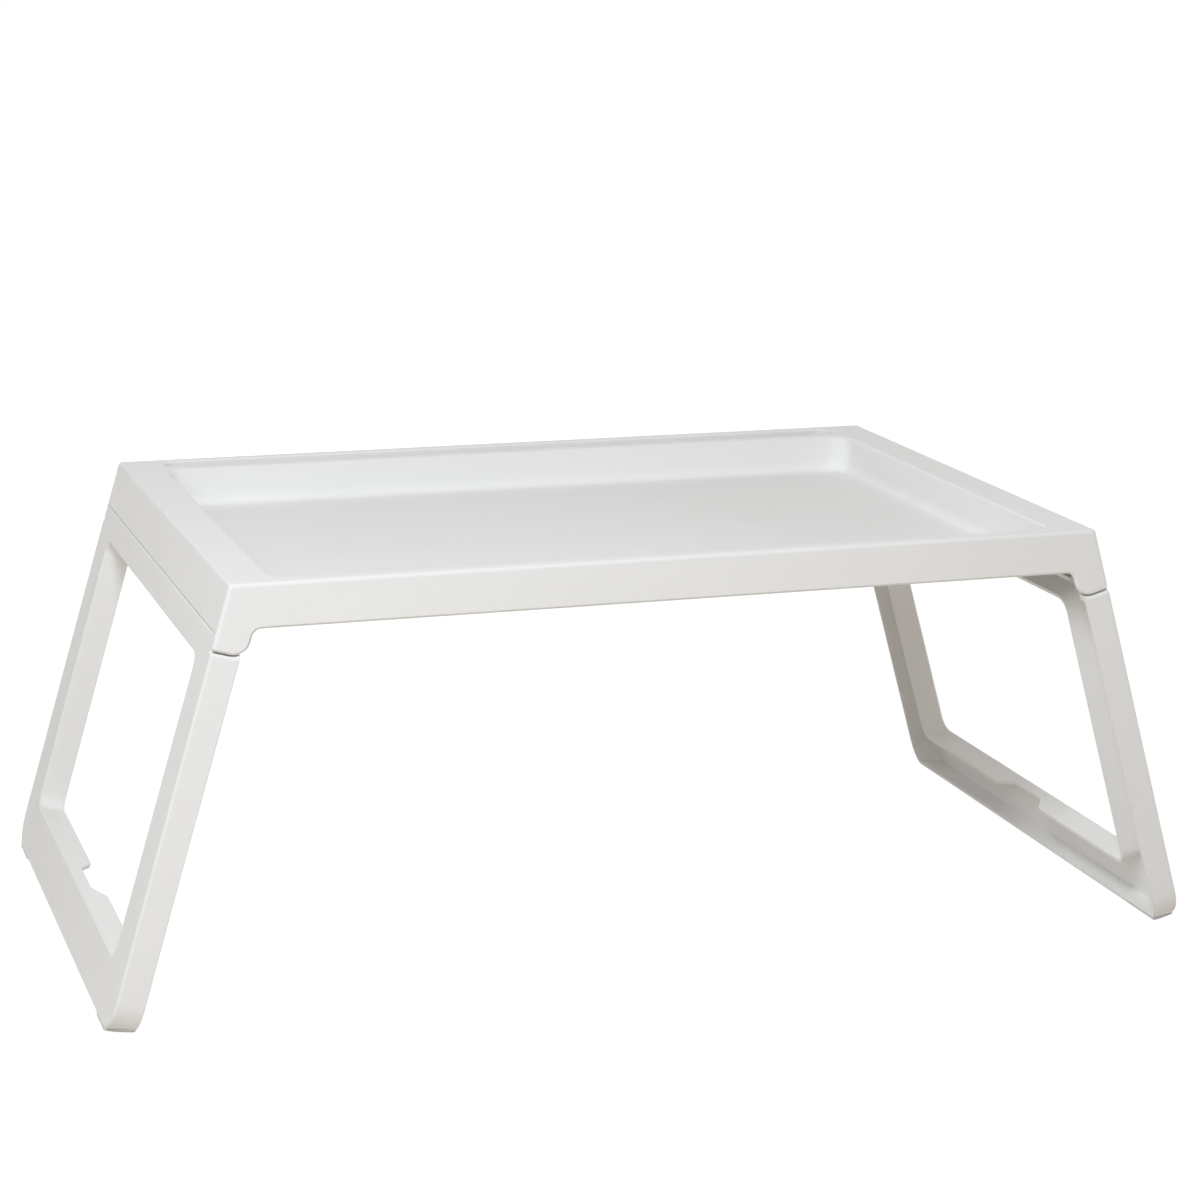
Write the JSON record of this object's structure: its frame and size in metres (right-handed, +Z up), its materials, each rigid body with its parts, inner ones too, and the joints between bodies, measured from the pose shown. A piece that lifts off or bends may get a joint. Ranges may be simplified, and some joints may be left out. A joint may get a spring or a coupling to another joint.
{
  "type": "folding lap tray desk",
  "caption": "White moulded tray with a recessed well and a narrow tablet channel, standing on folding window-framed end legs with soft foot pads.",
  "frame": {"origin": "on the floor under the middle of the tray, at the middle of the open object's base", "axes": "+X along the tray's length to the user's right, +Y to the back edge with the tablet channel, +Z up"},
  "size_m": [0.6884, 0.3726, 0.261],
  "materials": {
    "tray_plastic": "fine satin moulded polypropylene, white",
    "leg_plastic": "fine satin moulded polypropylene, white",
    "pad_rubber": "matte white soft elastomer",
    "pin_plastic": "smooth white acetal"
  },
  "bodies": {
    "tray": {"tray": "tray_plastic", "left_front_hinge_pin": "pin_plastic", "left_rear_hinge_pin": "pin_plastic", "right_front_hinge_pin": "pin_plastic", "right_rear_hinge_pin": "pin_plastic"},
    "left_leg": {"left_leg_frame": "leg_plastic", "left_front_foot_pad": "pad_rubber", "left_rear_foot_pad": "pad_rubber"},
    "right_leg": {"right_leg_frame": "leg_plastic", "right_front_foot_pad": "pad_rubber", "right_rear_foot_pad": "pad_rubber"}
  },
  "joints": [
    {"name": "left_leg_fold", "type": "hinge", "parent": "tray", "child": "left_leg", "pos_m": [-0.26345, 0, 0.22919], "axis": [0, -1, 0], "range_deg": [0, 106.2]},
    {"name": "right_leg_fold", "type": "hinge", "parent": "tray", "child": "right_leg", "pos_m": [0.26345, 0, 0.22919], "axis": [0, 1, 0], "range_deg": [0, 106.2]}
  ]
}
